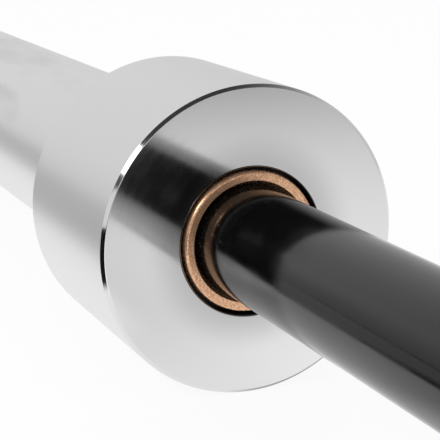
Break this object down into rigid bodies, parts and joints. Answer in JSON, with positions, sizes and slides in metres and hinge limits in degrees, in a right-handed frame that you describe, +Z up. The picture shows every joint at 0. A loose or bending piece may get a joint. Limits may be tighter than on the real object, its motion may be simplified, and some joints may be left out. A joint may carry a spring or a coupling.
{
  "type": "deadlift bar",
  "caption": "Long thin straight bar for deadlifts: a slim shaft with a freely spinning sleeve and a thick stop collar at each end.",
  "frame": {"origin": "middle of the bar, on its axis, halfway between the two collars", "axes": "+X along the bar towards the right-hand sleeve, +Z up, +Y to the back"},
  "size_m": [2.309, 0.075, 0.075],
  "materials": {
    "black_shaft": "glossy black plating on steel",
    "polished_chrome": "turned and polished hard chrome on steel",
    "satin_chrome": "satin hard chrome on steel",
    "bearing_bronze": "sintered bearing bronze",
    "washer_steel": "ground hardened steel",
    "spring_steel": "phosphated spring steel",
    "cap_aluminium": "turned aluminium",
    "seal_rubber": "nitrile rubber"
  },
  "bodies": {
    "shaft": {"shaft": "black_shaft", "left_inner_thrust_washer": "washer_steel", "left_outer_thrust_washer": "washer_steel", "left_shaft_retaining_ring": "spring_steel", "right_inner_thrust_washer": "washer_steel", "right_outer_thrust_washer": "washer_steel", "right_shaft_retaining_ring": "spring_steel"},
    "left_sleeve": {"left_collar": "polished_chrome", "left_sleeve_tube": "satin_chrome", "left_inner_bushing": "bearing_bronze", "left_outer_bushing": "bearing_bronze", "left_end_cap": "cap_aluminium", "left_cap_seal": "seal_rubber", "left_cap_retaining_ring": "spring_steel"},
    "right_sleeve": {"right_collar": "polished_chrome", "right_sleeve_tube": "satin_chrome", "right_inner_bushing": "bearing_bronze", "right_outer_bushing": "bearing_bronze", "right_end_cap": "cap_aluminium", "right_cap_seal": "seal_rubber", "right_cap_retaining_ring": "spring_steel"}
  },
  "joints": [
    {"name": "left_sleeve_spin", "type": "hinge", "parent": "shaft", "child": "left_sleeve", "pos_m": [-0.7175, 0, 0], "axis": [1, 0, 0], "continuous": true},
    {"name": "right_sleeve_spin", "type": "hinge", "parent": "shaft", "child": "right_sleeve", "pos_m": [0.7175, 0, 0], "axis": [1, 0, 0], "continuous": true}
  ]
}
